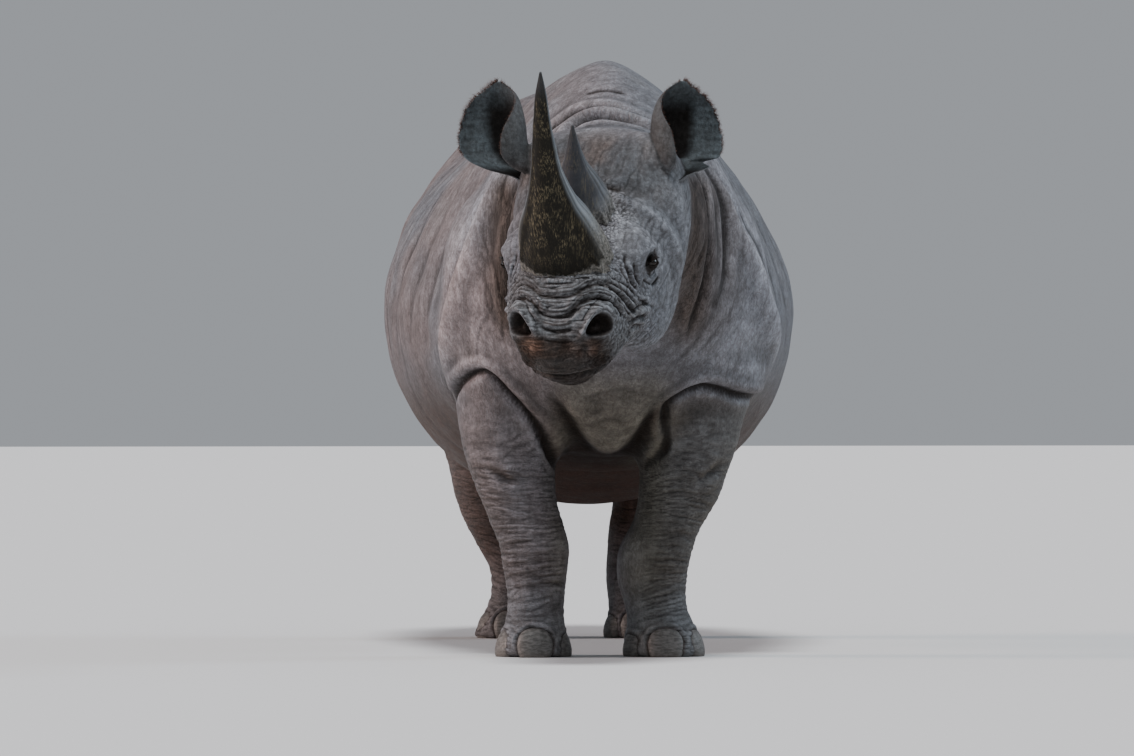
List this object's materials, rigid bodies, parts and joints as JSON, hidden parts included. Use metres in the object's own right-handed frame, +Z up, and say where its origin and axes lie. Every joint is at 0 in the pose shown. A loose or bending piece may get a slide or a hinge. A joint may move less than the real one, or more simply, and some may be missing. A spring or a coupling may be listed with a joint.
{
  "type": "black rhinoceros, standing, life-size model",
  "caption": "Life-size still model of an adult black rhinoceros standing square, head lowered and turned slightly to its right, ears pricked.",
  "frame": {"origin": "centre of the model's box on the floor, below the belly", "axes": "+Z up, -Y towards the head, +X towards the animal's left side"},
  "size_m": [1.1074, 3.107, 1.5851],
  "materials": {
    "skin": "matte",
    "horn": "matte",
    "nail": "matte",
    "eye": "gloss"
  },
  "bodies": {
    "root": {"trunk": "skin", "neck": "skin", "head": "skin", "leg_front_left": "skin", "leg_front_right": "skin", "leg_hind_left": "skin", "leg_hind_right": "skin", "ear_left": "skin", "ear_right": "skin", "tail": "skin", "horn_front": "horn", "horn_rear": "horn", "nail_front_left_1": "nail", "nail_front_left_2": "nail", "nail_front_left_3": "nail", "nail_front_right_1": "nail", "nail_front_right_2": "nail", "nail_front_right_3": "nail", "nail_hind_left_1": "nail", "nail_hind_left_2": "nail", "nail_hind_left_3": "nail", "nail_hind_right_1": "nail", "nail_hind_right_2": "nail", "nail_hind_right_3": "nail", "eye_left": "eye", "eye_right": "eye"}
  },
  "joints": []
}
